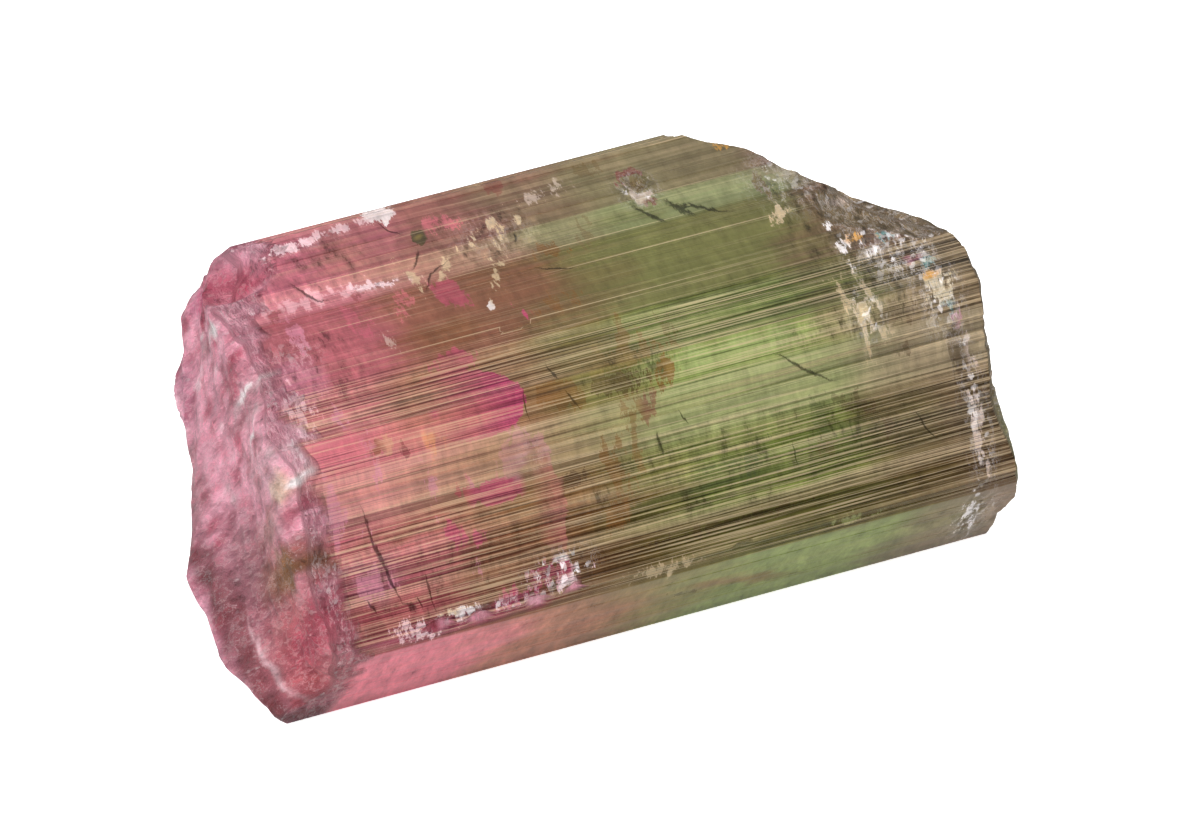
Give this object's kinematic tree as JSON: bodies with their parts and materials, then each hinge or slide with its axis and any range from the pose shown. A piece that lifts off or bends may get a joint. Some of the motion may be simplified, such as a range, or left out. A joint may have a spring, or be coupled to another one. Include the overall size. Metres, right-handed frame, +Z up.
{
  "type": "tourmaline crystal",
  "caption": "Rough two-coloured tourmaline: a broken, striated six-sided prism, pink at one end and green at the other, lying on a prism face.",
  "frame": {"origin": "centre of the bounding box at the plane that the crystal lies on", "axes": "+X along the prism, from the pink end to the green end; +Z up, away from the face that it lies on"},
  "size_m": [0.0404, 0.0256, 0.0176],
  "materials": {
    "tourmaline": "clear to cloudy crystal, rose pink at one end through olive to green, glassy on the striated prism faces and hackly on the broken ends"
  },
  "bodies": {
    "root": {"crystal": "tourmaline"}
  },
  "joints": []
}
